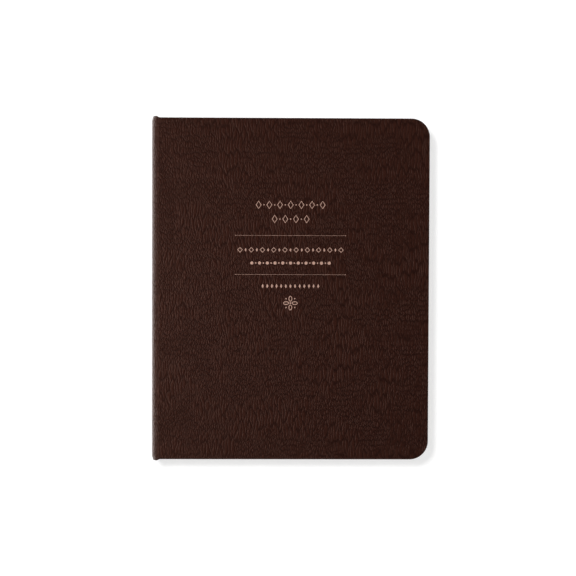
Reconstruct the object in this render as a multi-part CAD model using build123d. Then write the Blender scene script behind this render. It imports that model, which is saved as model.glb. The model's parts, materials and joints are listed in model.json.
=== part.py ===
from build123d import *
import math
import os

# An address book bound in leather over boards, lying closed on its back cover. Millimetres.
# The origin is the middle of the underside: +X points to the fore edge, +Y to the head, +Z up.

# Driving dimensions of the cover
book_width = 165.1
cover_height = 203.2
corner_radius = 11.0
leather_thickness = 0.5
board_thickness = 1.5
cover_edge_radius = 0.8
inlay_thickness = 0.5
inlay_share = 0.75  # of the way up each shoulder
inlay_setback = 2.0  # short of the board at the head and the tail
endpaper_thickness = 0.15
turn_in_width = 14.0
turn_in_corner_radius = 3.0
shoulder_radius = 5.0
cap_rise = 0.9

# Driving dimensions of the text block
page_margin = 3.0
paper_thickness = 0.2
sheets_per_section = 2
tab_depth = 8.0
tab_corner_radius = 3.0
lining_thickness = 0.3
tape_thickness = 0.2
tape_width = 12.0
tape_spacing = 56.0
thread_diameter = 0.2
thread_sides = 6
headband_diameter = 1.3

# Clearances
sheet_gap = 0.006
fold_gap = 0.05
leaf_gap = 0.1
joint_gap = 0.1
hinge_lift = 0.12
spine_clearance = 0.1
infill_gap = 0.2
thread_gap = 0.02
lining_end_gap = 6.0

index_pairs = ["ab", "cd", "ef", "gh", "ij", "kl", "mn", "op", "qr", "st", "uv", "wx", "yz"]
tape_count = 3

# Heights worked out from the stack of pieces
section_count = len(index_pairs)
cover_core = board_thickness + 2 * leather_thickness
cover_thickness = cover_core + endpaper_thickness
section_thickness = 2 * sheets_per_section * paper_thickness
section_thickness += 2 * (sheets_per_section - 1) * sheet_gap + fold_gap
section_pitch = section_thickness + leaf_gap
sections_base = cover_thickness + endpaper_thickness + 2 * leaf_gap
sections_top = sections_base + section_count * section_pitch
book_thickness = sections_top + endpaper_thickness + leaf_gap + cover_thickness
middle_height = book_thickness / 2

# Distances from the outside of the spine towards the fore edge
spine_layers = 2 * leather_thickness + inlay_thickness
inner_shoulder = shoulder_radius - spine_layers
lining_drop = sections_top - (book_thickness - shoulder_radius)
lining_start = shoulder_radius - math.sqrt(inner_shoulder ** 2 - lining_drop ** 2) + spine_clearance
thread_start = lining_start + lining_thickness + thread_gap
tape_start = thread_start + thread_diameter + thread_gap
fold_back = tape_start + tape_thickness + spine_clearance
fold_axis = fold_back + section_thickness / 2
fore_edge_of_pages = book_width - page_margin
page_height = cover_height - 2 * page_margin
page_corner_radius = corner_radius - page_margin
tab_height = page_height / section_count

# The cover hinges in the leather of the shoulder, just outside its surface
joint_angle = math.degrees(math.acos((shoulder_radius - fold_back) / inner_shoulder))
joint_half_gap = math.degrees(joint_gap / 2 / shoulder_radius)
hinge_radius = shoulder_radius + hinge_lift
hinge_reach = shoulder_radius - hinge_radius * math.cos(math.radians(joint_angle))
hinge_height = book_thickness - shoulder_radius + hinge_radius * math.sin(math.radians(joint_angle))
spine_x = -book_width / 2
midplane = Plane.XY.offset(middle_height)

# Roundings are limited by the walls they are on
fillet_limit = 0.45
cover_rounding = min(cover_edge_radius, fillet_limit * cover_core)
cap_rounding = fillet_limit * spine_layers
step_rounding = min(tab_corner_radius, fillet_limit * tab_depth)


def save(shape, node):
    """Write one node of the assembly."""
    export_step(shape, f"parts/{node}.step")


def across_spine(profile, length):
    """Stretch a profile, drawn as distance from the spine and height, along the height of the book."""
    return extrude(Plane.XZ * Pos(spine_x, 0) * profile, amount=length / 2, both=True)


def upright(outline, bottom, top):
    """Raise a plan outline, drawn as distance from the spine and place along the book, between two heights."""
    return extrude(Pos(spine_x, 0, bottom) * outline, amount=top - bottom, dir=(0, 0, 1))


def shoulder_point(depth, angle, side):
    """A point at a depth inside the outer face of the spine: side is 1 at the front and -1 at the back."""
    turn = math.radians(angle)
    radius = shoulder_radius - depth
    reach = shoulder_radius - radius * math.cos(turn)
    rise = middle_height - shoulder_radius + radius * math.sin(turn)
    return reach, middle_height + side * rise


def spine_path(depth, angle):
    """The rounded outline of the spine at a depth inside the leather, from the front to the back."""
    front = ThreePointArc(*(shoulder_point(depth, angle * part, 1) for part in (1, 0.5, 0)))
    back = ThreePointArc(*(shoulder_point(depth, angle * part, -1) for part in (0, 0.5, 1)))
    return [front, Line(front @ 1, back @ 0), back]


def spine_band(outer_depth, inner_depth, angle):
    """The profile of a layer of the spine between two depths, ending at an angle up each shoulder."""
    outer = spine_path(outer_depth, angle)
    inner = spine_path(inner_depth, angle)
    ends = [Line(outer[0] @ 0, inner[0] @ 0), Line(outer[2] @ 1, inner[2] @ 1)]
    return make_face(Curve() + outer + inner + ends)


def shoulder_layer(outer_depth, inner_depth):
    """The profile of a layer of the front joint between two depths, from the hinge line to the board."""
    start = joint_angle + joint_half_gap
    angles = [start, (start + 90) / 2, 90]
    outer = ThreePointArc(*(shoulder_point(outer_depth, angle, 1) for angle in angles))
    inner = ThreePointArc(*(shoulder_point(inner_depth, angle, 1) for angle in angles))
    return make_face(Curve() + [outer, inner, Line(outer @ 0, inner @ 0), Line(outer @ 1, inner @ 1)])


def cover_outline(inset, spine_edge, radius):
    """The plan of a cover, drawn in from its edges, with its two fore-edge corners rounded."""
    half = cover_height / 2 - inset
    fore = book_width - inset
    corners = [(spine_edge, -half), (fore, -half), (fore, half), (spine_edge, half)]
    return make_face(FilletPolyline(*corners, radius=[0, radius, radius, 0], close=True))


def cover_slab(inset, bottom, top):
    """A flat slab of the cover's plan, from the joint to the fore edge."""
    return upright(cover_outline(inset, shoulder_radius, corner_radius - inset), bottom, top)


def front_cover():
    """The leather, board, infill and pastedown of the front cover."""
    inner_face = book_thickness - cover_core
    board_base = inner_face + leather_thickness
    board = cover_slab(leather_thickness, board_base, board_base + board_thickness)

    # The leather is rounded over the edges of the board, turned in and cut away in the middle
    skin = cover_slab(0, inner_face, book_thickness)
    faces = skin.faces().sort_by(Axis.Z)
    spine_edge = spine_x + shoulder_radius
    rim = [edge for face in (faces[0], faces[-1]) for edge in face.edges() if edge.center().X > spine_edge]
    skin = fillet(rim, cover_rounding) - board
    skin -= upright(cover_outline(turn_in_width, 0, turn_in_corner_radius), inner_face, board_base)
    skin += joint_strip()

    infill_inset = turn_in_width + infill_gap
    infill_outline = cover_outline(infill_inset, shoulder_radius + infill_gap, turn_in_corner_radius)
    infill = upright(infill_outline, inner_face, board_base)

    # The pastedown covers the board, turns up its spine edge and lines the leather of the joint
    sheet_face = inner_face - endpaper_thickness
    pastedown_outline = cover_outline(page_margin, shoulder_radius, page_corner_radius)
    pastedown = upright(pastedown_outline, sheet_face, inner_face)
    riser_height = book_thickness - leather_thickness - sheet_face
    riser = Rectangle(endpaper_thickness, riser_height, align=(Align.MAX, Align.MIN))
    lining = shoulder_layer(leather_thickness, leather_thickness + endpaper_thickness)
    pastedown += across_spine(lining + Pos(shoulder_radius, sheet_face) * riser, page_height)
    return {"leather": skin, "board": board, "infill": infill, "pastedown": pastedown}


def joint_strip():
    """The bare leather between the board and the hinge line, flared at both ends to meet the caps."""
    strip = across_spine(shoulder_layer(0, leather_thickness), cover_height + 2 * cap_rise)
    half = cover_height / 2
    tip_reach = shoulder_point(0, joint_angle, 1)[0]
    flare = []
    for side in (1, -1):
        tip = (tip_reach, side * (half + cap_rise))
        flare.append(TangentArc((shoulder_radius, side * half), tip, tangent=(-1, 0)))
    sides = [Line(arc @ 0, (shoulder_radius, 0)) for arc in flare]
    tips = [Line(arc @ 1, (0, (arc @ 1).Y)) for arc in flare]
    plan = make_face(Curve() + flare + sides + tips + [Line(tips[0] @ 1, tips[1] @ 1)])
    return strip & upright(plan, middle_height, book_thickness)


def spine_pieces():
    """The spine leather with its rolled caps, and the card inlay held inside it."""
    length = cover_height + 2 * cap_rise
    end_angle = joint_angle - joint_half_gap
    body = across_spine(spine_band(0, spine_layers, end_angle), length)
    faces = body.faces().sort_by(Axis.Y)
    rim = faces[0].edges() + faces[-1].edges()
    outer_arcs = rim.filter_by(GeomType.CIRCLE).sort_by(SortBy.RADIUS)[-4:]
    outer_lines = rim.filter_by(Axis.Z).sort_by(Axis.X)[:2]
    body = fillet(outer_arcs + outer_lines, cap_rounding)

    inlay_band = spine_band(leather_thickness, leather_thickness + inlay_thickness, end_angle * inlay_share)
    inlay = across_spine(inlay_band, cover_height - 2 * inlay_setback)
    between = spine_band(leather_thickness, spine_layers + leather_thickness, end_angle + joint_half_gap)
    body -= across_spine(between, length - 2 * turn_in_width)
    return body - inlay, inlay


def leaf_outline(steps):
    """The plan of a leaf that shows its tab after a number of steps down the fore edge."""
    head = page_height / 2
    back = 0
    fore = fore_edge_of_pages
    points = [(back, head), (fore, head)]
    radii = [0, page_corner_radius]
    if steps < section_count:
        tab_foot = head - steps * tab_height
        cut = fore - tab_depth
        points += [(fore, tab_foot), (cut, tab_foot), (cut, -head), (back, -head)]
        radii += [step_rounding, 0, 0, 0]
    else:
        points += [(fore, -head), (back, -head)]
        radii += [page_corner_radius, 0]
    return make_face(FilletPolyline(*points, radius=radii, close=True))


def fold_profile(half_thickness, height):
    """A stack of leaves from the side: straight leaves in front of a half-round fold, or of a sharp crease."""
    leaves = Rectangle(book_width, 2 * half_thickness, align=(Align.MIN, Align.CENTER))
    if half_thickness > fold_gap:
        leaves += Circle(half_thickness)
    return Pos(fold_axis, height) * leaves


def index_section(number):
    """The folded sheets of one index section, one inside the other, counted from the front."""
    height = sections_top - (number + 0.5) * section_pitch
    cut = upright(leaf_outline(number + 1), height - section_pitch, height + section_pitch)
    sheets = []
    for sheet in range(sheets_per_section):
        outer = section_thickness / 2 - sheet * (paper_thickness + sheet_gap)
        profile = fold_profile(outer, height) - fold_profile(outer - paper_thickness, height)
        sheets.append(across_spine(profile, page_height) & cut)
    return Compound(children=sheets)


def flyleaf(bottom):
    """A single full leaf, hinged at the fold line of the sections."""
    head = page_height / 2
    fore = fore_edge_of_pages
    points = [(fold_axis, head), (fore, head), (fore, -head), (fold_axis, -head)]
    outline = make_face(FilletPolyline(*points, radius=[0, page_corner_radius, page_corner_radius, 0], close=True))
    return upright(outline, bottom, bottom + endpaper_thickness)


def back_strip(start, thickness, centre, width):
    """A flat strip across the backs of all the sections."""
    outline = Pos(start, centre) * Rectangle(thickness, width, align=(Align.MIN, Align.CENTER))
    return upright(outline, sections_base, sections_top)


def sewing():
    """The tapes up the backs of the sections, and a stitch over each tape for each section."""
    tapes = []
    stitches = []
    for tape in range(tape_count):
        centre = (tape - (tape_count - 1) / 2) * tape_spacing
        tapes.append(back_strip(tape_start, tape_thickness, centre, tape_width))
        for number in range(section_count):
            height = sections_top - (number + 0.5) * section_pitch
            reach = spine_x + thread_start + thread_diameter / 2
            section = RegularPolygon(thread_diameter / 2, thread_sides)
            stitch = extrude(Plane.XZ * section, amount=tape_width / 2, both=True)
            stitches.append(Pos(reach, centre, height) * stitch)
    return Compound(children=tapes), Compound(children=stitches)


def headband(side):
    """A corded band over the ends of the folds: a cloth skirt behind the sections and a round bead on top."""
    edge = page_height / 2 + spine_clearance
    skirt_height = lining_end_gap - spine_clearance
    skirt = back_strip(lining_start, lining_thickness, side * (edge - skirt_height / 2), skirt_height)
    bead_reach = lining_start + headband_diameter / 2
    bead = Pos(spine_x + bead_reach, side * (edge + headband_diameter / 2), (sections_base + sections_top) / 2)
    cord = bead * Cylinder(headband_diameter / 2, sections_top - sections_base)
    neck_height = headband_diameter / 2
    neck = back_strip(lining_start, lining_thickness, side * (edge + neck_height / 2), neck_height)
    return skirt + neck + cord


os.makedirs("parts", exist_ok=True)

for piece, shape in front_cover().items():
    save(shape, f"front_{piece}")
    save(mirror(shape, about=midplane), f"back_{piece}")

spine_leather, spine_inlay = spine_pieces()
save(spine_leather, "spine_leather")
save(spine_inlay, "spine_inlay")

lining_height = page_height - 2 * lining_end_gap - 2 * spine_clearance
save(back_strip(lining_start, lining_thickness, 0, lining_height), "spine_lining")
sewing_tapes, sewing_thread = sewing()
save(sewing_tapes, "sewing_tapes")
save(sewing_thread, "sewing_thread")
save(headband(1), "head_band")
save(headband(-1), "tail_band")

save(flyleaf(sections_top), "front_flyleaf")
save(flyleaf(cover_thickness + leaf_gap), "back_flyleaf")
for number, pair in enumerate(index_pairs):
    save(index_section(number), f"section_{pair}")
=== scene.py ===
import json
import math
import bmesh
import bpy
from bpy.props import FloatProperty, FloatVectorProperty, IntProperty, PointerProperty
from mathutils import Matrix, Vector


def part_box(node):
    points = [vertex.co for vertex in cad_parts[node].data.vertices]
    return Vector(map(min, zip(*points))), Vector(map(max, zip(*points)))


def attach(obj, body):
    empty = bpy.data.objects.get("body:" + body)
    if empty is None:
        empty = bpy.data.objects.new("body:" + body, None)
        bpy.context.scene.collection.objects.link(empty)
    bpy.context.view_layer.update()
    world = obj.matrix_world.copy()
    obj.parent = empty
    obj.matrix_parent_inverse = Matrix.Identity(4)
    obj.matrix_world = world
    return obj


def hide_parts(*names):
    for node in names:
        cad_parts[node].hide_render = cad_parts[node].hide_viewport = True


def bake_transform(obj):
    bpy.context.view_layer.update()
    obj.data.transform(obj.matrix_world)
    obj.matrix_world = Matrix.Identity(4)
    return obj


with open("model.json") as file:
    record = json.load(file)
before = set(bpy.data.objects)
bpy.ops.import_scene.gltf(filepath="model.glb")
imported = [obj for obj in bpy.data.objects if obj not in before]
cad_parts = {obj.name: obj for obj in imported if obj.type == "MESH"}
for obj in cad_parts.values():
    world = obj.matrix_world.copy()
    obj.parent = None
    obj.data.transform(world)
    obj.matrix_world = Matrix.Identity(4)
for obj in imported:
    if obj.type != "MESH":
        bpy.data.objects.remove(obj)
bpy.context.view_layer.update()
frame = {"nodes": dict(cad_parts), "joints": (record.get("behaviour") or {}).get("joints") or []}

bl_info = {
    "name": "Address book",
    "version": (1, 0, 0),
    "blender": (4, 5, 0),
    "location": "View3D > Sidebar > Address book",
    "description": "Leather, foil, leaves, endpapers and headbands of a bound address book, and its stage",
    "category": "Object",
}

MM = 0.001
TINY = 1e-6

# A wave texture draws one band over this share of its scaled coordinate
WAVE_SHARE = math.tau / 20

# Sizes of the leather case, read from the frame
spine_low, spine_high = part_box("spine_leather")
cover_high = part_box("front_leather")[1]
board_low, board_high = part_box("front_board")
infill_low, infill_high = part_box("front_infill")
book_top = cover_high.z
middle_height = book_top / 2
spine_face = spine_low.x
fore_edge = cover_high.x
cap_half = spine_high.y
leather_thickness = book_top - board_high.z
cover_half = board_high.y + leather_thickness
cover_core = book_top - infill_low.z
turn_in_width = cover_half - infill_high.y
shoulder_radius = board_low.x - spine_face

# The spine's end is the leather, its card and the leather turned in over it, each as thick as the leather
spine_core = 3 * leather_thickness

# Distances along the flat skin, from the middle of the spine over the shoulder to the fore edge
flat_of_spine = middle_height - shoulder_radius
board_start = flat_of_spine + shoulder_radius * math.pi / 2
skin_end = board_start + fore_edge - (spine_face + shoulder_radius)

joint_places = {joint["child"]: Vector(joint["pos_m"]) for joint in frame["joints"]}
hinge_place = joint_places["front_cover"]
shoulder_centre = Vector((spine_face + shoulder_radius, 0, book_top - shoulder_radius))
hinge_arm = (hinge_place - shoulder_centre).normalized()
hinge_along = flat_of_spine + shoulder_radius * math.atan2(hinge_arm.z, -hinge_arm.x)

index_pairs = ["ab", "cd", "ef", "gh", "ij", "kl", "mn", "op", "qr", "st", "uv", "wx", "yz"]


def linear(hex_colour):
    """An sRGB hex colour as linear red, green, blue and alpha."""
    parts = []
    for place in (1, 3, 5):
        share = int(hex_colour[place:place + 2], 16) / 255
        parts.append(share / 12.92 if share <= 0.04045 else ((share + 0.055) / 1.055) ** 2.4)
    return parts + [1.0]


def shaded(shade, share):
    """A colour made darker or paler, with all its parts changed by the same share."""
    return [min(part * share, 1) for part in shade]


def length(name, description, millimetres):
    """A length that a user may change, given in millimetres."""
    return FloatProperty(name=name, description=description, default=millimetres * MM, precision=5,
                         unit='LENGTH')


def angle(name, description, degrees):
    """An angle that a user may change, given in degrees."""
    return FloatProperty(name=name, description=description, default=math.radians(degrees), subtype='ANGLE')


def amount(name, description, default, unit):
    """A number that a user may change, zero or more, in the given unit."""
    return FloatProperty(name=name, description=description, default=default, min=0, unit=unit)


def colour(name, description, hex_colour):
    """A colour that a user may change, given as sRGB hex."""
    return FloatVectorProperty(name=name, description=description, default=linear(hex_colour), size=4,
                               min=0, max=1, subtype='COLOR')


class BOOK_PG_leather(bpy.types.PropertyGroup):
    """Sizes and colours of the leather skin"""
    corner_radius: length("Corner radius", "Rounding of the two fore-edge corners of a cover", 11)
    edge_radius: length("Edge radius", "Rounding of the leather over the edges of the boards", 0.8)
    cap_radius: length("Cap radius", "Rounding of the leather over the head and tail of the spine", 0.6)
    tuck_depth: length("Tuck depth", "How far the leather is pushed in over the headbands", 0.6)
    tuck_length: length("Tuck length", "How far from the head or tail the leather starts to turn in", 3.0)
    hinge_reach: length("Hinge reach", "How far the leather bends on each side of the hinge line", 0.9)
    seam_setback: length("Seam setback", "From the hinge line to where the spine's own leather starts", 1.2)
    pebble_width: length("Pebble width", "Width of one pebble of the grain", 1.2)
    pebble_length: length("Pebble length", "Length of one pebble of the grain, along the book", 3.0)
    crease_spacing: length("Crease spacing", "Distance between the long creases of the grain", 1.7)
    crease_length: length("Crease length", "Length of one long crease, along the book", 9)
    grain_depth: length("Grain depth", "Depth of the creases of the grain", 0.24)
    shade: colour("Leather", "Brown of the dyed leather", "#371D16")
    # The crease colour is painted shade, laid down in the creases of the grain
    crease: colour("Creases", "Darker brown down in the creases", "#180907")


class BOOK_PG_foil(bpy.types.PropertyGroup):
    """Sizes and colour of the stamped foil"""
    rule_length: length("Rule length", "Length of each of the two rules", 65.4)
    rule_width: length("Rule width", "Width of a rule", 0.12)
    stroke: length("Stroke", "Width of the lines of an ornament", 0.45)
    film: length("Film", "Thickness of the foil, drawn thicker than the real film so that it shows", 0.03)
    shade: colour("Foil", "Colour of the copper foil", "#F0C2AE")


class BOOK_PG_paper(bpy.types.PropertyGroup):
    """Sizes and colours of the leaves and endpapers"""
    thickness: length("Paper", "Thickness of the index paper", 0.19)
    sheet_pitch: length("Sheet pitch", "From the face of one folded sheet to the next one inside it", 0.206)
    corner_radius: length("Page corners", "Rounding of the fore-edge corners of the leaves", 8)
    tab_depth: length("Tab depth", "How far the fore edge is cut back below a tab", 8)
    tab_radius: length("Tab corners", "Rounding of the corner of a tab", 3)
    bend_length: length("Bend length", "How far from its fold a leaf bends as it turns", 26)
    flyleaf_bend: length("Flyleaf bend", "How far from its fold a flyleaf bends as it turns", 14)
    letter_size: length("Letters", "Size of the letters on the tabs", 4.6)
    rule_pitch: length("Rulings", "Distance between the ruled lines of a page", 8)
    page: colour("Pages", "Warm white of the index paper", "#F1EBDD")
    edge: colour("Page edges", "Trimmed edges of the leaves", "#EFE9DE")
    ruling: colour("Rulings", "Ink of the ruled lines", "#B9A58C")
    ink: colour("Letters", "Ink of the tab letters", "#4A2A20")
    endpaper: colour("Endpapers", "Ivory of the endpapers", "#E9E0CC")


class BOOK_PG_binding(bpy.types.PropertyGroup):
    """Colours of the headbands and of what is hidden inside the case"""
    windings: IntProperty(name="Windings", description="Turns of thread on a headband", default=18, min=4)
    band_dark: colour("Dark thread", "Brown thread of the headbands", "#5A3426")
    band_light: colour("Light thread", "Cream thread of the headbands", "#E6D7B6")
    greyboard: colour("Greyboard", "Pressed board of the covers", "#A29B90")
    card: colour("Card", "Card of the spine inlay and the infills", "#CDBF9F")
    lining: colour("Lining", "Open cloth on the backs of the sections", "#DCD5C4")
    linen: colour("Linen", "Tapes and sewing thread", "#D9CCAE")


class BOOK_PG_stage(bpy.types.PropertyGroup):
    """The photograph's floor, light and camera"""
    floor: colour("Floor", "Pale grey paper under the book", "#B4B4B4")
    lift: FloatProperty(name="Lift", description="White added to the floor where the camera sees it",
                        default=0.68, min=0, max=1, subtype='FACTOR')
    high_watts: amount("High lamp", "Power of the lamp that throws the shadow", 13.4, 'POWER')
    side_watts: amount("Side lamp", "Power of the panel on the spine's side", 0.58, 'POWER')
    board_watts: amount("Spine board", "Power of the board that lights the spine's shoulder", 0.9, 'POWER')
    frame_width: length("Frame width", "Width of the picture at the height of the cover", 342.3)
    lens: amount("Lens", "Focal length of the camera in millimetres", 85, 'CAMERA')
    aim_x: length("Aim across", "Place on the cover at the middle of the picture, across", -1.44)
    aim_y: length("Aim along", "Place on the cover at the middle of the picture, along", 0.78)
    tilt_along: angle("Tilt along", "Lean of the camera towards the tail of the book", -1.8)
    tilt_across: angle("Tilt across", "Lean of the camera towards the fore edge", -0.9)
    roll: angle("Roll", "Turn of the camera about its own line of sight", 0.2)


def feed(tree, socket, value):
    """Set an input to a value, or link it to another socket or to the first output of another node."""
    if isinstance(value, bpy.types.Node):
        value = next(output for output in value.outputs if output.enabled)
    if isinstance(value, bpy.types.NodeSocket):
        tree.links.new(value, socket)
    else:
        socket.default_value = value


def add_node(tree, kind, settings=None, inputs=None):
    """Add a node, set its properties, and give each named input a value, a socket or another node."""
    node = tree.nodes.new(kind)
    for name, value in (settings or {}).items():
        setattr(node, name, value)
    sockets = [socket for socket in node.inputs if socket.enabled]
    for name, value in (inputs or {}).items():
        feed(tree, next(socket for socket in sockets if name in (socket.identifier, socket.name)), value)
    return node


def new_material(name):
    """A new material, with its node tree and its surface shader."""
    material = bpy.data.materials.new(name)
    material.use_nodes = True
    tree = material.node_tree
    return material, tree, tree.nodes["Principled BSDF"]


def give(tree, shader, values):
    """Set or link the named inputs of a surface shader."""
    for name, value in values.items():
        feed(tree, shader.inputs[name], value)


def mottle(tree, shader, pattern, shade, dark_share, depth, values):
    """Darken a surface in the hollows of a pattern, press the pattern into it and give it other values."""
    tone = add_node(tree, "ShaderNodeMix", {"data_type": 'RGBA'},
                    {"Factor": pattern, "A": shaded(shade, dark_share), "B": list(shade)})
    bump = add_node(tree, "ShaderNodeBump", None, {"Height": pattern, "Distance": depth})
    give(tree, shader, {"Base Color": tone, "Normal": bump, **values})


def long_grain_leather():
    """Drum-dyed leather, boarded so that its grain runs in wavering pebbles and creases along the book."""
    # It gives the eye a deep brown with a soft sheen on the pebbles and darker creases between them; the
    # colour is also made darker in the creases, which is painted shade
    look = bpy.context.scene.book_leather
    material, tree, shader = new_material("long_grain_leather")
    skin = add_node(tree, "ShaderNodeUVMap", {"uv_map": "skin"})
    waver_size = 9 * MM
    waver = add_node(tree, "ShaderNodeTexNoise", {"noise_dimensions": '2D'},
                     {"Vector": skin, "Scale": 1 / waver_size, "Detail": 2.0})
    noise_middle = (0.5, 0.5, 0.5)
    sway = add_node(tree, "ShaderNodeVectorMath", {"operation": 'SUBTRACT'},
                    {"Vector": waver.outputs["Color"], "Vector_001": noise_middle})
    sway_reach = 2.5 * MM
    swayed = add_node(tree, "ShaderNodeVectorMath", {"operation": 'MULTIPLY_ADD'},
                      {"Vector": sway, "Vector_001": (sway_reach, sway_reach, 0), "Vector_002": skin})
    # Width and length of a cell, and how far its bank reaches up from the crease, as a share of the cell.
    # The real grain is a little finer; its pebbles are drawn larger so that they show
    pebbles = (look.pebble_width, look.pebble_length, 0.34)
    creases = (look.crease_spacing, look.crease_length, 0.26)
    ridges = []
    for width, run, bank in (pebbles, creases):
        along = add_node(tree, "ShaderNodeMapping", None,
                         {"Vector": swayed, "Scale": (1 / width, 1 / run, 1)})
        cells = add_node(tree, "ShaderNodeTexVoronoi",
                         {"voronoi_dimensions": '2D', "feature": 'DISTANCE_TO_EDGE'},
                         {"Vector": along, "Scale": 1.0, "Randomness": 0.9})
        ridges.append(add_node(tree, "ShaderNodeMapRange", {"interpolation_type": 'SMOOTHSTEP'},
                               {"Value": cells.outputs["Distance"], "From Min": 0.0, "From Max": bank}))
    patch_size = 22 * MM
    patches = add_node(tree, "ShaderNodeTexNoise", {"noise_dimensions": '2D'},
                       {"Vector": skin, "Scale": 1 / patch_size, "Detail": 1.0})
    creased = add_node(tree, "ShaderNodeMapRange", {"interpolation_type": 'SMOOTHSTEP'},
                       {"Value": patches, "From Min": 0.35, "From Max": 0.65, "To Min": 0.2, "To Max": 0.8})
    grain = add_node(tree, "ShaderNodeMix", {"data_type": 'FLOAT'},
                     {"Factor": creased, "A": ridges[0], "B": ridges[1]})
    wrinkle_size = 1.1 * MM
    wrinkles = add_node(tree, "ShaderNodeTexNoise", {"noise_dimensions": '2D'},
                        {"Vector": swayed, "Scale": 1 / wrinkle_size, "Detail": 2.0, "Roughness": 0.6})
    wrinkle_share = 0.25
    relief = add_node(tree, "ShaderNodeMix", {"data_type": 'FLOAT'},
                      {"Factor": wrinkle_share, "A": grain, "B": wrinkles})
    patch_share = 0.12
    tone = add_node(tree, "ShaderNodeMix", {"data_type": 'FLOAT'},
                    {"Factor": patch_share, "A": relief, "B": patches})
    # Painted shade: the brown is darker where the grain's relief is low, in the creases, and it also varies
    # in random patches
    brown = add_node(tree, "ShaderNodeMix", {"data_type": 'RGBA'},
                     {"Factor": tone, "A": list(look.crease), "B": list(look.shade)})
    # The pebbles are polished by the finish, and the creases stay duller
    gloss = add_node(tree, "ShaderNodeMapRange", None, {"Value": relief, "To Min": 0.4, "To Max": 0.29})
    bump = add_node(tree, "ShaderNodeBump", None, {"Height": relief, "Distance": look.grain_depth})
    # The wax of the finish takes up a little of the dye, so that the sheen is warm
    give(tree, shader, {"Base Color": brown, "Roughness": gloss, "Specular IOR Level": 0.45,
                        "Specular Tint": linear("#FFC6B2"), "Normal": bump})
    return material


def copper_foil():
    """Hot-stamped copper foil: a thin lacquered film of metal, pressed into the grain."""
    # It gives the eye a pale copper, bright but not a mirror, and a little broken by the grain below
    look = bpy.context.scene.book_foil
    material, tree, shader = new_material("copper_foil")
    place = add_node(tree, "ShaderNodeTexCoord")
    crumple_size = 0.7 * MM
    crumple = add_node(tree, "ShaderNodeTexNoise", None,
                       {"Vector": place.outputs["Object"], "Scale": 1 / crumple_size, "Detail": 2.0})
    mottle(tree, shader, crumple, look.shade, dark_share=0.7, depth=0.08 * MM,
           values={"Metallic": 0.35, "Roughness": 0.4})
    return material


def index_paper():
    """Uncoated index paper, ruled in a pale ink between its margins."""
    # It gives the eye a warm matt white with a faint cloud of fibres and thin lines
    look = bpy.context.scene.book_paper
    material, tree, shader = new_material("index_paper")
    page = add_node(tree, "ShaderNodeUVMap", {"uv_map": "page"})
    fibre_size = 1.5 * MM
    fibres = add_node(tree, "ShaderNodeTexNoise", {"noise_dimensions": '2D'},
                      {"Vector": page, "Scale": 1 / fibre_size, "Detail": 4.0})
    cloud = add_node(tree, "ShaderNodeMix", {"data_type": 'RGBA'},
                     {"Factor": fibres, "A": list(look.edge), "B": list(look.page)})
    parts = add_node(tree, "ShaderNodeSeparateXYZ", None, {"Vector": page})
    ruled_step = add_node(tree, "ShaderNodeMath", {"operation": 'PINGPONG'},
                          {"Value": parts.outputs["Y"], "Value_001": look.rule_pitch / 2})
    # A real ruling is about 0.1 mm thick; this one is drawn wider so that it shows
    line_width = 0.35 * MM
    on_line = add_node(tree, "ShaderNodeMath", {"operation": 'LESS_THAN'},
                       {"Value": ruled_step, "Value_001": line_width / 2})
    gutter_margin = 14 * MM
    tab_margin = 6 * MM
    head_margin = 12 * MM
    low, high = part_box("section_ab")
    left = low.x + gutter_margin
    right = high.x - look.tab_depth - tab_margin
    half_height = high.y - head_margin
    across = add_node(tree, "ShaderNodeMath", {"operation": 'COMPARE'},
                      {"Value": parts.outputs["X"], "Value_001": (left + right) / 2,
                       "Value_002": (right - left) / 2})
    along = add_node(tree, "ShaderNodeMath", {"operation": 'COMPARE'},
                     {"Value": parts.outputs["Y"], "Value_001": 0.0, "Value_002": half_height})
    inside = add_node(tree, "ShaderNodeMath", {"operation": 'MULTIPLY'},
                      {"Value": across, "Value_001": along})
    ruled = add_node(tree, "ShaderNodeMath", {"operation": 'MULTIPLY'},
                     {"Value": inside, "Value_001": on_line})
    printed = add_node(tree, "ShaderNodeMix", {"data_type": 'RGBA'},
                       {"Factor": ruled, "A": cloud, "B": list(look.ruling)})
    fibre_depth = 0.02 * MM
    bump = add_node(tree, "ShaderNodeBump", None, {"Height": fibres, "Distance": fibre_depth})
    give(tree, shader, {"Base Color": printed, "Roughness": 0.85, "IOR": 1.45, "Normal": bump})
    return material


def trimmed_edges():
    """The edges of the leaves as the guillotine left them: raw paper, cut across."""
    # They give the eye fine darker lines along the block, which are painted shade between the leaves
    look = bpy.context.scene.book_paper
    material, tree, shader = new_material("trimmed_page_edges")
    page = add_node(tree, "ShaderNodeUVMap", {"uv_map": "page"})
    # A leaf is about 0.2 mm thick; the lines are drawn about twice as wide so that they show
    line_size = 0.45 * MM
    run_length = 60 * MM
    runs = add_node(tree, "ShaderNodeMapping", None,
                    {"Vector": page, "Scale": (1 / run_length, 1 / line_size, 1)})
    lines = add_node(tree, "ShaderNodeTexNoise", {"noise_dimensions": '2D'},
                     {"Vector": runs, "Scale": 1.0, "Detail": 2.0})
    shade = add_node(tree, "ShaderNodeMapRange", None, {"Value": lines, "From Min": 0.3, "From Max": 0.65})
    # Painted shade: the edge colour darkens along the lines, standing for the shade between the leaves
    tone = add_node(tree, "ShaderNodeMix", {"data_type": 'RGBA'},
                    {"Factor": shade, "A": shaded(look.edge, 0.7), "B": list(look.edge)})
    line_depth = 0.08 * MM
    bump = add_node(tree, "ShaderNodeBump", None, {"Height": lines, "Distance": line_depth})
    give(tree, shader, {"Base Color": tone, "Roughness": 0.8, "IOR": 1.45, "Normal": bump})
    return material


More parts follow.
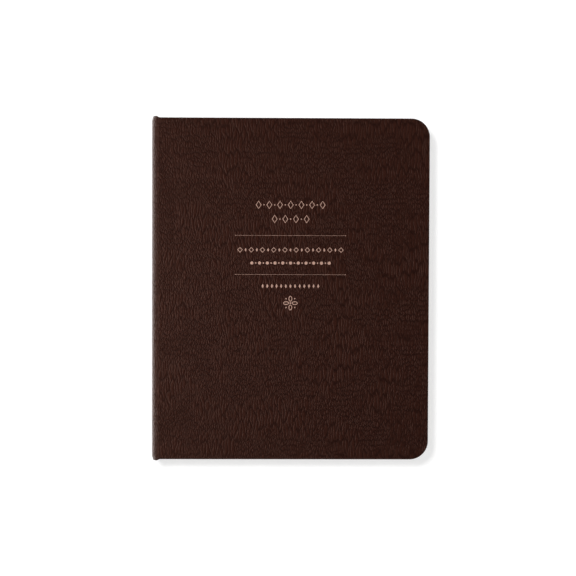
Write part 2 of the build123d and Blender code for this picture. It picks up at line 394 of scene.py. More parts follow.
def laid_endpaper():
    """Uncoated laid paper, formed on a mould of close wires."""
    # It gives the eye a matt ivory with faint close lines and a cloud of fibres
    look = bpy.context.scene.book_paper
    material, tree, shader = new_material("laid_endpaper")
    page = add_node(tree, "ShaderNodeUVMap", {"uv_map": "page"})
    # Real laid lines are about 1 mm apart; these are drawn at twice that so that they show
    laid_pitch = 2 * MM
    lines = add_node(tree, "ShaderNodeTexWave", {"bands_direction": 'Y'},
                     {"Vector": page, "Scale": WAVE_SHARE / laid_pitch, "Distortion": 0.6, "Detail": 1.0})
    fibre_size = 3 * MM
    fibres = add_node(tree, "ShaderNodeTexNoise", {"noise_dimensions": '2D'},
                      {"Vector": page, "Scale": 1 / fibre_size, "Detail": 5.0})
    fibre_share = 0.6
    mould = add_node(tree, "ShaderNodeMix", {"data_type": 'FLOAT'},
                     {"Factor": fibre_share, "A": lines, "B": fibres})
    mottle(tree, shader, mould, look.endpaper, dark_share=0.88, depth=0.03 * MM,
           values={"Roughness": 0.85, "IOR": 1.45})
    return material


def printing_ink():
    """Printing ink, dried into uncoated paper."""
    # It gives the eye a matt dark brown, a little broken by the fibres
    look = bpy.context.scene.book_paper
    material, tree, shader = new_material("printing_ink")
    place = add_node(tree, "ShaderNodeTexCoord")
    fibre_size = 0.4 * MM
    fibres = add_node(tree, "ShaderNodeTexNoise", None,
                      {"Vector": place.outputs["Object"], "Scale": 1 / fibre_size, "Detail": 2.0})
    tone = add_node(tree, "ShaderNodeMix", {"data_type": 'RGBA'},
                    {"Factor": fibres, "A": list(look.ink), "B": shaded(look.ink, 1.8)})
    give(tree, shader, {"Base Color": tone, "Roughness": 0.7, "IOR": 1.45})
    return material


def woven_thread(name, shade, spacing, turned):
    """Spun thread or plain-woven cloth."""
    # It gives the eye crossing ribs of thread with a dull, broken surface
    material, tree, shader = new_material(name)
    place = add_node(tree, "ShaderNodeTexCoord")
    ribs = []
    for direction in ('Y', turned):
        ribs.append(add_node(tree, "ShaderNodeTexWave", {"bands_direction": direction},
                             {"Vector": place.outputs["Object"], "Scale": WAVE_SHARE / spacing,
                              "Distortion": 0.5}))
    weave = add_node(tree, "ShaderNodeMath", {"operation": 'MULTIPLY'},
                     {"Value": ribs[0], "Value_001": ribs[1]})
    mottle(tree, shader, weave, shade, dark_share=0.55, depth=0.1 * MM,
           values={"Roughness": 0.8, "Sheen Weight": 0.3})
    return material


def pressed_board(name, shade):
    """Board or card, pressed from paper pulp."""
    # It gives the eye a matt face, flecked with the fibres that it was pressed from
    material, tree, shader = new_material(name)
    place = add_node(tree, "ShaderNodeTexCoord")
    fleck_size = 1.2 * MM
    flecks = add_node(tree, "ShaderNodeTexNoise", None,
                      {"Vector": place.outputs["Object"], "Scale": 1 / fleck_size, "Detail": 6.0,
                       "Roughness": 0.7})
    mottle(tree, shader, flecks, shade, dark_share=0.6, depth=0.05 * MM,
           values={"Roughness": 0.9, "IOR": 1.45})
    return material


def white_sweep():
    """A sheet of pale paper under the book."""
    # It gives the eye plain white, to the camera and in reflections, and keeps the book's shadow
    look = bpy.context.scene.book_stage
    material, tree, shader = new_material("white_paper_sweep")
    rays = add_node(tree, "ShaderNodeLightPath")
    mirrored = add_node(tree, "ShaderNodeMath", {"operation": 'MAXIMUM'},
                        {"Value": rays.outputs["Is Glossy Ray"],
                         "Value_001": rays.outputs["Is Transmission Ray"]})
    seen = add_node(tree, "ShaderNodeMath", {"operation": 'MAXIMUM'},
                    {"Value": rays.outputs["Is Camera Ray"], "Value_001": mirrored})
    # Far from the book, where the lamps don't reach, the paper shows plain white
    lit_reach = 0.2
    white_reach = 0.9
    place = add_node(tree, "ShaderNodeTexCoord")
    distance = add_node(tree, "ShaderNodeVectorMath", {"operation": 'LENGTH'},
                        {"Vector": place.outputs["Object"]})
    white = add_node(tree, "ShaderNodeMapRange", {"interpolation_type": 'SMOOTHSTEP'},
                     {"Value": distance.outputs["Value"], "From Min": lit_reach, "From Max": white_reach,
                      "To Min": look.lift, "To Max": 1.0})
    lift = add_node(tree, "ShaderNodeMath", {"operation": 'MULTIPLY'}, {"Value": seen, "Value_001": white})
    give(tree, shader, {"Base Color": list(look.floor), "Roughness": 1.0, "Specular IOR Level": 0.0,
                        "Emission Color": linear("#FFFFFF"), "Emission Strength": lift})
    return material


def add_piece(bm, name, materials, crease_angle=40):
    """Turn a finished bmesh into an object of the scene, smooth apart from its creases."""
    mesh = bpy.data.meshes.new(name)
    bm.to_mesh(mesh)
    bm.free()
    for material in materials:
        mesh.materials.append(material)
    mesh.shade_smooth()
    mesh.set_sharp_from_angle(angle=math.radians(crease_angle))
    piece = bpy.data.objects.new(name, mesh)
    bpy.context.scene.collection.objects.link(piece)
    return piece


def join(bm, other):
    """Move the geometry of one bmesh into another."""
    carrier = bpy.data.meshes.new("carrier")
    other.to_mesh(carrier)
    other.free()
    bm.from_mesh(carrier)
    bpy.data.meshes.remove(carrier)


def cut(bm, places):
    """Cut a bmesh by a plane through each place across X."""
    for place in places:
        geometry = bm.verts[:] + bm.edges[:] + bm.faces[:]
        bmesh.ops.bisect_plane(bm, geom=geometry, dist=TINY, plane_co=(place, 0, 0), plane_no=(1, 0, 0))


def cut_faces(bm, faces, place, across):
    """Cut chosen faces of a bmesh by a plane."""
    edges = {edge for face in faces for edge in face.edges}
    verts = {vert for face in faces for vert in face.verts}
    geometry = [*faces, *edges, *verts]
    bmesh.ops.bisect_plane(bm, geom=geometry, dist=TINY, plane_co=place, plane_no=across)


def cut_ends(bm, reach, half, tuck_length):
    """Cut the part of a skin that lies before a reach into strips near the head and the tail."""
    strips = 5
    for number in range(1, strips + 1):
        for side in (-1, 1):
            place = side * (half - tuck_length * number / strips)
            faces = [face for face in bm.faces if face.calc_center_median().x < reach]
            cut_faces(bm, faces, (0, place, 0), (0, 1, 0))


def underside(bm):
    """The faces of a skin that look straight down."""
    straight_down = -0.99
    bm.normal_update()
    return [face for face in bm.faces if face.normal.z < straight_down]


def open_underside(bm, fore, half):
    """Cut the middle out of the underside of a skin, which leaves its turn-ins."""
    cut_faces(bm, underside(bm), (fore, 0, 0), (1, 0, 0))
    for side in (1, -1):
        cut_faces(bm, underside(bm), (0, side * half, 0), (0, 1, 0))
    middle = []
    for face in underside(bm):
        place = face.calc_center_median()
        if abs(place.y) < half and place.x < fore:
            middle.append(face)
    bmesh.ops.delete(bm, geom=middle, context='FACES')


def block(size, centre):
    """A plain block of a size about a centre."""
    bm = bmesh.new()
    bmesh.ops.create_cube(bm, size=1)
    bmesh.ops.scale(bm, vec=size, verts=bm.verts)
    bmesh.ops.translate(bm, vec=centre, verts=bm.verts)
    return bm


def skin_block(start, end, half, core):
    """A flat block of skin, its outer face at height zero: X runs along the skin, Y along the book."""
    return block((end - start, 2 * half, core), ((start + end) / 2, 0, -core / 2))


def round_edges(bm, edges, radius, segments):
    """Round chosen edges of a bmesh."""
    bmesh.ops.bevel(bm, geom=edges, offset=radius, offset_type='OFFSET', segments=segments, profile=0.5,
                    affect='EDGES', material=-1, clamp_overlap=True)


def mark_skin(bm):
    """Unroll the flat skin into its UV map, in metres, with the rims laid out beyond the edges."""
    layer = bm.loops.layers.uv.new("skin")
    for face in bm.faces:
        for loop in face.loops:
            place = loop.vert.co
            rim = -place.z if abs(place.y) > cover_half - cover_core else 0
            loop[layer].uv = (place.x, place.y + math.copysign(rim, place.y))


def ease(share):
    """A smooth step from zero to one."""
    share = min(max(share, 0), 1)
    return share * share * (3 - 2 * share)


def bend_over_spine(bm, look):
    """Tuck a flat skin in over the headbands, and bend it round the shoulders of the spine."""
    for vert in bm.verts:
        side = math.copysign(1, vert.co.x)
        along = abs(vert.co.x)
        turn = min(max((along - flat_of_spine) / shoulder_radius, 0), math.pi / 2)
        on_spine = ease((board_start - along) / (board_start - hinge_along))
        near_end = ease((abs(vert.co.y) - cap_half + look.tuck_length) / look.tuck_length)
        outside = 1 + vert.co.z / spine_core
        tuck = on_spine * near_end * outside * look.tuck_depth
        arm = shoulder_radius + vert.co.z - tuck
        reach = shoulder_radius - arm * math.cos(turn) + max(along - board_start, 0)
        rise = min(along, flat_of_spine) + arm * math.sin(turn)
        vert.co = (spine_face + reach, vert.co.y, middle_height + side * rise)


def cover_skin(side, look):
    """The leather of a cover with its turn-ins, from the shoulder of the spine to the fore edge."""
    start = hinge_along - look.seam_setback
    bm = skin_block(start, skin_end, cover_half, cover_core)
    corners = []
    for edge in bm.edges:
        upright = abs(edge.verts[0].co.z - edge.verts[1].co.z) > TINY
        if upright and all(vert.co.x > skin_end - TINY for vert in edge.verts):
            corners.append(edge)
    round_edges(bm, corners, look.corner_radius, segments=14)
    rim = []
    for edge in bm.edges:
        level = abs(edge.verts[0].co.z - edge.verts[1].co.z) < TINY
        if level and any(vert.co.x > start + TINY for vert in edge.verts):
            rim.append(edge)
    round_edges(bm, rim, look.edge_radius, segments=5)
    end_faces = [face for face in bm.faces if all(vert.co.x < start + TINY for vert in face.verts)]
    bmesh.ops.delete(bm, geom=end_faces, context='FACES')
    open_underside(bm, skin_end - turn_in_width, cover_half - turn_in_width)

    divisions = 26
    step_back = 0.2 * MM
    stations = [start + (board_start - start) * number / divisions for number in range(1, divisions)]
    cut(bm, stations + [board_start - step_back, board_start])
    cut_ends(bm, board_start, cover_half, look.tuck_length)
    bmesh.ops.solidify(bm, geom=bm.faces[:], thickness=leather_thickness)
    for vert in bm.verts:
        if vert.co.x < board_start - TINY:
            rise = ease((board_start - vert.co.x) / (board_start - hinge_along))
            vert.co.y *= 1 + rise * (cap_half / cover_half - 1)
            vert.co.z *= spine_core / cover_core
    if side < 0:
        bmesh.ops.scale(bm, vec=(-1, 1, 1), verts=bm.verts)
        bmesh.ops.reverse_faces(bm, faces=bm.faces[:])
    mark_skin(bm)
    bend_over_spine(bm, look)
    return bm


def spine_skin(look):
    """The leather of the spine, turned in over its card at the head and the tail."""
    end = hinge_along - look.seam_setback
    bm = skin_block(-end, end, cap_half, spine_core)
    rolls = [edge for edge in bm.edges if abs(edge.verts[0].co.x - edge.verts[1].co.x) > TINY]
    round_edges(bm, rolls, look.cap_radius, segments=5)
    end_faces = [face for face in bm.faces if abs(face.calc_center_median().x) > end - TINY]
    bmesh.ops.delete(bm, geom=end_faces, context='FACES')
    open_underside(bm, 2 * end, cap_half - turn_in_width)
    divisions = 32
    cut(bm, [-end + 2 * end * number / divisions for number in range(1, divisions)])
    cut_ends(bm, 2 * end, cap_half, look.tuck_length)
    bmesh.ops.solidify(bm, geom=bm.faces[:], thickness=spine_core / cover_core * leather_thickness)
    mark_skin(bm)
    bend_over_spine(bm, look)
    return bm


class BOOK_OT_leather_case(bpy.types.Operator):
    """Wrap the covers and the spine in leather that bends at the two hinge lines"""
    bl_idname = "book.leather_case"
    bl_label = "Leather case"

    def execute(self, context):
        look = context.scene.book_leather
        leather = long_grain_leather()
        for side, name in ((1, "front"), (-1, "back")):
            skin = add_piece(cover_skin(side, look), f"{name}_cover_skin", [leather])
            evened = skin.modifiers.new("even_shading", 'WEIGHTED_NORMAL')
            evened.keep_sharp = True
            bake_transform(skin)
            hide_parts(f"{name}_leather")
        spine = add_piece(spine_skin(look), "spine_skin", [leather])
        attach(spine, "spine")
        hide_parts("spine_leather")
        return {'FINISHED'}


def stretch(bm, verts, centre, width, height):
    """Stretch a flat shape of unit size and move it to its centre."""
    bmesh.ops.scale(bm, vec=(width, height, 1), verts=verts)
    bmesh.ops.translate(bm, vec=centre, verts=verts)


def ring(bm, centre, width, height, stroke, sides):
    """An upright lozenge or oval drawn as a line of foil."""
    loops = []
    for inset in (0, stroke):
        verts = bmesh.ops.create_circle(bm, segments=sides, radius=0.5)["verts"]
        stretch(bm, verts, centre, width - 2 * inset, height - 2 * inset)
        loops += {edge for vert in verts for edge in vert.link_edges}
    bmesh.ops.bridge_loops(bm, edges=loops)


def dot(bm, centre, width, height, sides):
    """A filled lozenge or dot of foil."""
    verts = bmesh.ops.create_circle(bm, segments=sides, radius=0.5, cap_ends=True)["verts"]
    stretch(bm, verts, centre, width, height)


def bar(bm, centre, width, height):
    """A straight bar of foil."""
    verts = bmesh.ops.create_grid(bm, x_segments=1, y_segments=1, size=0.5)["verts"]
    stretch(bm, verts, centre, width, height)


def spread(count, width):
    """Places spaced evenly over a width, about the middle."""
    return [(number / (count - 1) - 0.5) * width for number in range(count)]


def face_up(bm):
    """Turn the faces of a flat shape to look up."""
    for face in bm.faces:
        if face.normal.z < 0:
            face.normal_flip()


def pick(result, kind):
    """The verts, edges or faces in what a bmesh operator gives back."""
    return [part for part in result["geom"] if isinstance(part, kind)]


def foil_piece(bm, name, foil, film):
    """Give a flat foil shape its thickness, and stamp it on the front cover."""
    bmesh.ops.recalc_face_normals(bm, faces=bm.faces[:])
    face_up(bm)
    raised = bmesh.ops.extrude_face_region(bm, geom=bm.faces[:])
    bmesh.ops.translate(bm, vec=(0, 0, film), verts=pick(raised, bmesh.types.BMVert))
    bmesh.ops.recalc_face_normals(bm, faces=bm.faces[:])
    bmesh.ops.translate(bm, vec=(0, 0, book_top), verts=bm.verts)
    piece = add_piece(bm, name, [foil])
    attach(piece, "front_cover")
    return piece


class BOOK_OT_foil_stamping(bpy.types.Operator):
    """Stamp two rules and rows of lozenges, beads and a small flower on the front cover"""
    bl_idname = "book.foil_stamping"
    bl_label = "Foil stamping"

    def execute(self, context):
        look = context.scene.book_foil
        foil = copper_foil()

        # The heights of the rows are measured from the middle of the cover towards the head
        rules = bmesh.new()
        rule_heights = (31.95 * MM, 8.75 * MM)
        end_bead = 4 * look.rule_width
        for height in rule_heights:
            bar(rules, (0, height, 0), look.rule_length, look.rule_width)
            for side in (-1, 1):
                dot(rules, (side * look.rule_length / 2, height, 0), end_bead, end_bead, sides=10)
        foil_piece(rules, "foil_rules", foil, look.film)

        lozenges = bmesh.new()
        lozenge_width = 3.4 * MM
        lozenge_height = 4.9 * MM
        pause = 0.8 * MM
        # Height, number of lozenges and width of each row
        lozenge_rows = ((50.1 * MM, 7, 38 * MM), (41.7 * MM, 4, 19 * MM))
        for height, count, width in lozenge_rows:
            places = spread(count, width)
            pitch = places[1] - places[0]
            for place in places:
                ring(lozenges, (place, height, 0), lozenge_width, lozenge_height, look.stroke, sides=4)
            for place in places[:-1]:
                dot(lozenges, (place + pitch / 2, height, 0), pause, pause, sides=8)
        foil_piece(lozenges, "foil_lozenge_rows", foil, look.film)

        chain = bmesh.new()
        chain_height = 23.4 * MM
        link = 3.2 * MM
        spacer_width = 1.2 * MM
        spacer_height = 2.2 * MM
        for number, place in enumerate(spread(count=19, width=60 * MM)):
            if number % 2 == 0:
                ring(chain, (place, chain_height, 0), link, link, look.stroke, sides=4)
            else:
                dot(chain, (place, chain_height, 0), spacer_width, spacer_height, sides=4)
        foil_piece(chain, "foil_lozenge_chain", foil, look.film)

        beads = bmesh.new()
        bead_height = 15.6 * MM
        large_bead = 1.9 * MM
        small_bead = 0.9 * MM
        for number, place in enumerate(spread(count=21, width=46 * MM)):
            size = large_bead if number % 2 == 0 else small_bead
            dot(beads, (place, bead_height, 0), size, size, sides=12)
        seed_height = 1.9 * MM
        seed_width = 1.3 * MM
        seed_length = 2.6 * MM
        for place in spread(count=13, width=33 * MM):
            dot(beads, (place, seed_height, 0), seed_width, seed_length, sides=4)
        foil_piece(beads, "foil_bead_rows", foil, look.film)

        flower = bmesh.new()
        centre = Vector((0, -8.2 * MM, 0))
        petal_reach = 2.6 * MM
        petal_width = 2.2 * MM
        petal_length = 3.4 * MM
        corner_dot = 0.8 * MM
        heart = 1.1 * MM
        for quarter in range(4):
            turn = Matrix.Rotation(quarter * math.pi / 2, 3, 'Z')
            upright = quarter % 2 == 0
            wide = petal_width if upright else petal_length
            tall = petal_length if upright else petal_width
            petal = centre + turn @ Vector((0, petal_reach, 0))
            corner = centre + turn @ Vector((petal_reach, petal_reach, 0))
            ring(flower, petal, wide, tall, look.stroke, sides=16)
            dot(flower, corner, corner_dot, corner_dot, sides=8)
        dot(flower, centre, heart, heart, sides=12)
        foil_piece(flower, "foil_flower", foil, look.film)
        return {'FINISHED'}


def rounded_plan(corners, radii, height):
    """A flat face from its corners, with the given corners rounded."""
    bm = bmesh.new()
    verts = [bm.verts.new((x, y, height)) for x, y in corners]
    bm.faces.new(verts)
    for vert, radius in zip(verts, radii):
        if radius:
            bmesh.ops.bevel(bm, geom=[vert], offset=radius, offset_type='OFFSET', segments=7, profile=0.5,
                            affect='VERTICES', material=-1)
    bm.normal_update()
    face_up(bm)
    return bm


def mark_page(bm):
    """Lay a leaf into its UV map, in metres: its faces by plan, its cut edges by run and height."""
    layer = bm.loops.layers.uv.new("page")
    bm.normal_update()
    for face in bm.faces:
        flat = abs(face.normal.z) > 0.5
        for loop in face.loops:
            place = loop.vert.co
            loop[layer].uv = (place.x, place.y) if flat else (place.x + place.y, place.z)
        face.material_index = 0 if flat else 1


def edge_at(bm, place):
    """The edges of a leaf that lie along the book at a place across it."""
    return [edge for edge in bm.edges if all(abs(vert.co.x - place) < TINY for vert in edge.verts)]


def gutter_stations(fold, bend_length, count=12):
    """Places across a leaf where it may bend, from its fold."""
    return [fold + bend_length * number / count for number in range(1, count + 1)]


def folded_sheet(corners, radii, fold, height, radius, look):
    """One sheet of a section: a leaf, the fold round its edge, and the leaf below it."""
    bm = rounded_plan(corners, radii, height + radius)
    cut(bm, gutter_stations(fold, look.bend_length))
    lower = bmesh.ops.duplicate(bm, geom=bm.verts[:] + bm.edges[:] + bm.faces[:])
    bmesh.ops.translate(bm, vec=(0, 0, -2 * radius), verts=pick(lower, bmesh.types.BMVert))
    bmesh.ops.reverse_faces(bm, faces=pick(lower, bmesh.types.BMFace))
    crease = [edge for edge in edge_at(bm, fold) if edge.verts[0].co.z > height]
    fold_steps = 8
    bmesh.ops.spin(bm, geom=crease, cent=(fold, 0, height), axis=(0, -1, 0), angle=math.pi,
                   steps=fold_steps)
    bmesh.ops.remove_doubles(bm, verts=bm.verts[:], dist=TINY)
    bmesh.ops.recalc_face_normals(bm, faces=bm.faces[:])
    bmesh.ops.solidify(bm, geom=bm.faces[:], thickness=look.thickness)
    return bm


def tab_letters(pair, centre, look, ink):
    """The two letters of a section, printed on its tab."""
    ink_film = 0.01 * MM
    ink_lift = 0.015 * MM
    writing = bpy.data.curves.new(f"letters_{pair}", 'FONT')
    writing.body = pair.upper()
    writing.size = look.letter_size
    writing.align_x = 'CENTER'
    writing.align_y = 'CENTER'
    writing.extrude = ink_film
    carrier = bpy.data.objects.new("carrier", writing)
    bpy.context.scene.collection.objects.link(carrier)
    bpy.context.view_layer.update()
    mesh = bpy.data.meshes.new_from_object(carrier.evaluated_get(bpy.context.evaluated_depsgraph_get()))
    bpy.data.objects.remove(carrier)
    bpy.data.curves.remove(writing)
    mesh.name = f"letters_{pair}"
    mesh.transform(Matrix.Translation(centre + Vector((0, 0, ink_lift))))
    mesh.materials.clear()
    mesh.materials.append(ink)
    letters = bpy.data.objects.new(f"tab_letters_{pair}", mesh)
    bpy.context.scene.collection.objects.link(letters)
    return letters


class BOOK_OT_index_sections(bpy.types.Operator):
    """Fold the sheets of the thirteen index sections, step their fore edges and print their tabs"""
    bl_idname = "book.index_sections"
    bl_label = "Index sections"

    sheets: IntProperty(name="Sheets", description="Folded sheets in a section", default=2, min=1)

    def execute(self, context):
        look = context.scene.book_paper
        papers = [index_paper(), trimmed_edges()]
        ink = printing_ink()
        for number, pair in enumerate(index_pairs):
            node = f"section_{pair}"
            low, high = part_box(node)
            half_thickness = (high.z - low.z) / 2
            height = (high.z + low.z) / 2
            fold = joint_places[node].x
            tab_height = (high.y - low.y) / len(index_pairs)
            tab_foot = high.y - (number + 1) * tab_height
            cut_back = high.x - look.tab_depth
            corners = [(fold, high.y), (high.x, high.y)]
            radii = [0, look.corner_radius]
            if number + 1 < len(index_pairs):
                corners += [(high.x, tab_foot), (cut_back, tab_foot), (cut_back, low.y), (fold, low.y)]
                radii += [look.tab_radius, 0, 0, 0]
            else:
                corners += [(high.x, low.y), (fold, low.y)]
                radii += [look.corner_radius, 0]
            leaves = bmesh.new()
            for sheet in range(self.sheets):
                radius = half_thickness - sheet * look.sheet_pitch
                join(leaves, folded_sheet(corners, radii, fold, height, radius, look))
            mark_page(leaves)
            section = add_piece(leaves, f"leaves_{pair}", papers)
            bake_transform(section)
            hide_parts(node)
            centre = Vector((high.x - look.tab_depth / 2, tab_foot + tab_height / 2, high.z))
            letters = tab_letters(pair, centre, look, ink)
            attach(letters, node)
        return {'FINISHED'}


def hinged_leaf(low, high, look):
    """A flat single leaf with rounded fore-edge corners, divided where it bends."""
    corners = [(low.x, high.y), (high.x, high.y), (high.x, low.y), (low.x, low.y)]
    bm = rounded_plan(corners, [0, look.corner_radius, look.corner_radius, 0], high.z)
    cut(bm, gutter_stations(low.x, look.flyleaf_bend))
    bmesh.ops.solidify(bm, geom=bm.faces[:], thickness=high.z - low.z)
    return bm


def pastedown(side, look):
    """The half of an endpaper that lines a cover, carried on over the joint to the fold of its flyleaf."""
    name = "front" if side > 0 else "back"
    low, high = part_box(f"{name}_pastedown")
    fly_low, fly_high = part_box(f"{name}_flyleaf")
    thickness = fly_high.z - fly_low.z
    face = low.z if side > 0 else high.z
    start = spine_face + shoulder_radius
    corners = [(start, high.y), (high.x, high.y), (high.x, low.y), (start, low.y)]
    bm = rounded_plan(corners, [0, look.corner_radius, look.corner_radius, 0], face)
    fold_height = (fly_low.z + fly_high.z) / 2 + side * thickness / 2
    edges = edge_at(bm, start)
    steps = 10
    for number in range(1, steps + 1):
        share = number / steps
        grown = bmesh.ops.extrude_edge_only(bm, edges=edges)
        edges = pick(grown, bmesh.types.BMEdge)
        for vert in pick(grown, bmesh.types.BMVert):
            vert.co.x = start + (fly_low.x - start) * share
            vert.co.z = face + (fold_height - face) * share
    if side > 0:
        bmesh.ops.reverse_faces(bm, faces=bm.faces[:])
    bmesh.ops.solidify(bm, geom=bm.faces[:], thickness=thickness)
    return bm


class BOOK_OT_endpapers(bpy.types.Operator):
    """Line the covers with endpapers, and hinge their flyleaves at the folds"""
    bl_idname = "book.endpapers"
    bl_label = "Endpapers"

    def execute(self, context):
        look = context.scene.book_paper
        papers = [laid_endpaper(), trimmed_edges()]
        for side, name in ((1, "front"), (-1, "back")):
            low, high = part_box(f"{name}_flyleaf")
            leaf = hinged_leaf(low, high, look)
            mark_page(leaf)
            flyleaf = add_piece(leaf, f"{name}_flyleaf_sheet", papers)
            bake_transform(flyleaf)
            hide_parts(f"{name}_flyleaf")

            lining = pastedown(side, look)
            mark_page(lining)
            sheet = add_piece(lining, f"{name}_pastedown_sheet", papers)
            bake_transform(sheet)
            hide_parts(f"{name}_pastedown")
        return {'FINISHED'}


def wound_bead(centre, radius, bottom, top, windings):
    """A cord wound with thread in two colours: a scalloped line spun round the cord."""
    bm = bmesh.new()
    groove = 0.22 * radius
    points_per_winding = 5
    spin_steps = 16
    count = windings * points_per_winding
    vert = bm.verts.new((centre.x + radius - groove, centre.y, bottom))
    line = []
    for number in range(1, count + 1):
        swell = abs(math.sin(math.pi * number / points_per_winding))
        height = bottom + (top - bottom) * number / count
        grown = bmesh.ops.extrude_vert_indiv(bm, verts=[vert])
        vert = grown["verts"][0]
        line += grown["edges"]
        vert.co = (centre.x + radius - groove * (1 - swell), centre.y, height)
    bmesh.ops.spin(bm, geom=line, cent=centre, axis=(0, 0, 1), angle=math.tau, steps=spin_steps,
                   use_merge=True)
    bmesh.ops.remove_doubles(bm, verts=bm.verts[:], dist=TINY)
    bmesh.ops.holes_fill(bm, edges=bm.edges[:], sides=0)
    bmesh.ops.recalc_face_normals(bm, faces=bm.faces[:])
    for face in bm.faces:
        share = (face.calc_center_median().z - bottom) / (top - bottom)
        face.material_index = int(share * windings) % 2
    return bm


class BOOK_OT_headbands(bpy.types.Operator):
    """Wind the headbands at the head and the tail of the sections"""
    bl_idname = "book.headbands"
    bl_label = "Headbands"

    def execute(self, context):
        look = context.scene.book_binding
        threads = [woven_thread("dark_silk_thread", look.band_dark, spacing=0.3 * MM, turned='X'),
                   woven_thread("light_silk_thread", look.band_light, spacing=0.3 * MM, turned='X')]
        cloth_low, cloth_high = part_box("spine_lining")
        for side, name in ((1, "head"), (-1, "tail")):
            low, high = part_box(f"{name}_band")
            radius = (high.x - low.x) / 2
            outer = high.y if side > 0 else low.y
            inner = low.y if side > 0 else high.y
            centre = Vector((low.x + radius, outer - side * radius, 0))
            band = wound_bead(centre, radius, low.z, high.z, look.windings)
            width = cloth_high.x - cloth_low.x
            drop = abs(centre.y - inner)
            middle = (low.x + width / 2, (centre.y + inner) / 2, (low.z + high.z) / 2)
            join(band, block((width, drop, high.z - low.z), middle))
            piece = add_piece(band, f"{name}_band_winding", threads)
            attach(piece, "spine")
            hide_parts(f"{name}_band")
        return {'FINISHED'}


class BOOK_OT_inner_binding(bpy.types.Operator):
    """Give the boards, cards, lining, tapes and thread inside the case their materials"""
    bl_idname = "book.inner_binding"
    bl_label = "Inner binding"

    def execute(self, context):
        look = context.scene.book_binding
        board = pressed_board("greyboard", look.greyboard)
        card = pressed_board("manila_card", look.card)
        finishes = {
            "front_board": board,
            "back_board": board,
            "front_infill": card,
            "back_infill": card,
            "spine_inlay": card,
            "spine_lining": woven_thread("lining_mull", look.lining, spacing=0.9 * MM, turned='Z'),
            "sewing_tapes": woven_thread("linen_tape", look.linen, spacing=0.5 * MM, turned='Z'),
            "sewing_thread": woven_thread("linen_thread", look.linen, spacing=0.3 * MM, turned='DIAGONAL'),
        }
        for node, material in finishes.items():
            mesh = frame["nodes"][node].data
            mesh.materials.clear()
            mesh.materials.append(material)
        return {'FINISHED'}


def soft_box(name, place, target, width, height, watts, sheen):
    """A lamp out of the picture, aimed at a place, which gives either the sheen or all the other light."""
    data = bpy.data.lights.new(name, 'AREA')
    data.shape = 'RECTANGLE'
    data.size = width
    data.size_y = height
    data.energy = watts
    lamp = bpy.data.objects.new(name, data)
    lamp.location = place
    lamp.visible_camera = False
    lamp.visible_glossy = sheen
    lamp.visible_diffuse = not sheen
    lamp.rotation_euler = (Vector(target) - lamp.location).to_track_quat('-Z', 'Y').to_euler()
    bpy.context.scene.collection.objects.link(lamp)


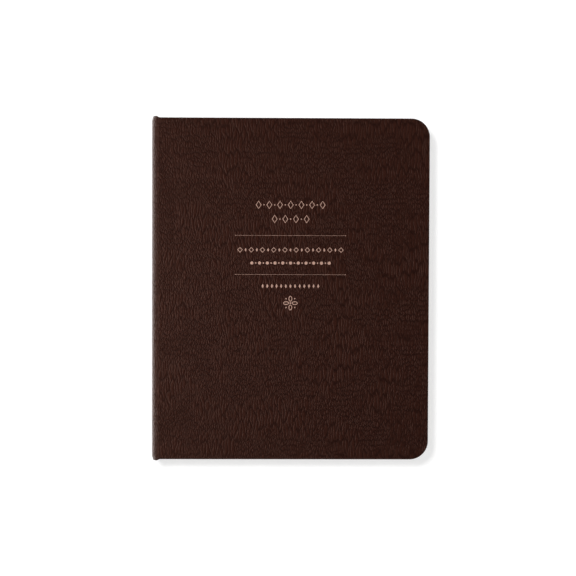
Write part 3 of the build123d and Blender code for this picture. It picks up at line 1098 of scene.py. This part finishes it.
class BOOK_OT_photo_stage(bpy.types.Operator):
    """Lay the white floor, hang the lamps and set the camera straight above the book"""
    bl_idname = "book.photo_stage"
    bl_label = "Photo stage"

    def execute(self, context):
        scene = context.scene
        look = scene.book_stage
        bm = bmesh.new()
        half_floor = 4
        bmesh.ops.create_grid(bm, x_segments=1, y_segments=1, size=half_floor)
        floor = add_piece(bm, "floor", [white_sweep()])

        # The high lamp throws the short shadow, and a polariser keeps its glare off the leather.
        # The other two give the sheen alone: a panel on the spine's side wakes the grain from the left,
        # and a lit board on the floor, which an open cover hides, shows in the shoulder of the spine.
        soft_box("high_lamp", place=(-0.38, 0.37, 1.25), target=(0, 0, 0), width=0.25, height=0.25,
                 watts=look.high_watts, sheen=False)
        soft_box("side_lamp", place=(-0.3, -0.03, 0.4), target=(0, 0, 0), width=0.4, height=0.2,
                 watts=look.side_watts, sheen=True)
        soft_box("spine_board", place=(-0.3, 0.0, 0.4 * MM), target=(-0.3, 0.0, 1.0), width=0.42, height=0.42,
                 watts=look.board_watts, sheen=True)

        world = bpy.data.worlds.new("studio")
        scene.world = world
        world.use_nodes = True
        tree = world.node_tree
        sky = tree.nodes["Background"]
        rays = add_node(tree, "ShaderNodeLightPath")
        seen = add_node(tree, "ShaderNodeMath", {"operation": 'MAXIMUM'},
                        {"Value": rays.outputs["Is Camera Ray"],
                         "Value_001": rays.outputs["Is Transmission Ray"]})
        # Pale walls under a dark ceiling, by the upward share of the direction
        wall_top = 0.2
        ceiling_start = 0.5
        wall_level = 2.0
        ceiling_level = 0.03
        direction = add_node(tree, "ShaderNodeTexCoord")
        parts = add_node(tree, "ShaderNodeSeparateXYZ", None, {"Vector": direction.outputs["Generated"]})
        walls = add_node(tree, "ShaderNodeMapRange", {"interpolation_type": 'SMOOTHSTEP'},
                         {"Value": parts.outputs["Z"], "From Min": wall_top, "From Max": ceiling_start,
                          "To Min": wall_level, "To Max": ceiling_level})
        # In the sheen of the leather a polariser dims the walls
        polariser = 0.18
        dimmed = add_node(tree, "ShaderNodeMath", {"operation": 'MULTIPLY'},
                          {"Value": walls, "Value_001": polariser})
        room = add_node(tree, "ShaderNodeMix", {"data_type": 'FLOAT'},
                        {"Factor": rays.outputs["Is Glossy Ray"], "A": walls, "B": dimmed})
        # What the camera sees of the room is plain white
        level = add_node(tree, "ShaderNodeMix", {"data_type": 'FLOAT'},
                         {"Factor": seen, "A": room, "B": 1.0})
        give(tree, sky, {"Color": linear("#FFFFFF"), "Strength": level})

        data = bpy.data.cameras.new("photo_camera")
        data.lens = look.lens
        camera = bpy.data.objects.new("photo_camera", data)
        distance = look.frame_width * data.lens / data.sensor_width
        camera.rotation_euler = (look.tilt_along, look.tilt_across, look.roll)
        sight = camera.rotation_euler.to_matrix() @ Vector((0, 0, distance))
        camera.location = Vector((look.aim_x, look.aim_y, book_top)) + sight
        scene.collection.objects.link(camera)
        scene.camera = camera
        scene.view_settings.view_transform = 'Standard'
        return {'FINISHED'}


class BOOK_PT_address_book(bpy.types.Panel):
    """The pieces of the address book"""
    bl_idname = "BOOK_PT_address_book"
    bl_label = "Address book"
    bl_space_type = 'VIEW_3D'
    bl_region_type = 'UI'
    bl_category = "Address book"

    def draw(self, context):
        for operator in operators:
            self.layout.operator(operator.bl_idname)
        for name in setting_groups:
            settings = getattr(context.scene, name)
            column = self.layout.column()
            for prop in settings.bl_rna.properties:
                if prop.identifier not in ("rna_type", "name"):
                    column.prop(settings, prop.identifier)


setting_groups = {
    "book_leather": BOOK_PG_leather,
    "book_foil": BOOK_PG_foil,
    "book_paper": BOOK_PG_paper,
    "book_binding": BOOK_PG_binding,
    "book_stage": BOOK_PG_stage,
}
operators = [
    BOOK_OT_leather_case,
    BOOK_OT_foil_stamping,
    BOOK_OT_endpapers,
    BOOK_OT_index_sections,
    BOOK_OT_headbands,
    BOOK_OT_inner_binding,
    BOOK_OT_photo_stage,
]


def register():
    for group in setting_groups.values():
        bpy.utils.register_class(group)
    for operator in operators:
        bpy.utils.register_class(operator)
    bpy.utils.register_class(BOOK_PT_address_book)
    for name, group in setting_groups.items():
        setattr(bpy.types.Scene, name, PointerProperty(type=group))


def unregister():
    for name in setting_groups:
        delattr(bpy.types.Scene, name)
    bpy.utils.unregister_class(BOOK_PT_address_book)
    for operator in reversed(operators):
        bpy.utils.unregister_class(operator)
    for group in setting_groups.values():
        bpy.utils.unregister_class(group)


def main():
    """Register the add-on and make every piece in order."""
    register()
    bpy.ops.book.leather_case()
    bpy.ops.book.foil_stamping()
    bpy.ops.book.endpapers()
    bpy.ops.book.index_sections()
    bpy.ops.book.headbands()
    bpy.ops.book.inner_binding()
    bpy.ops.book.photo_stage()


if __name__ == "__main__":
    main()
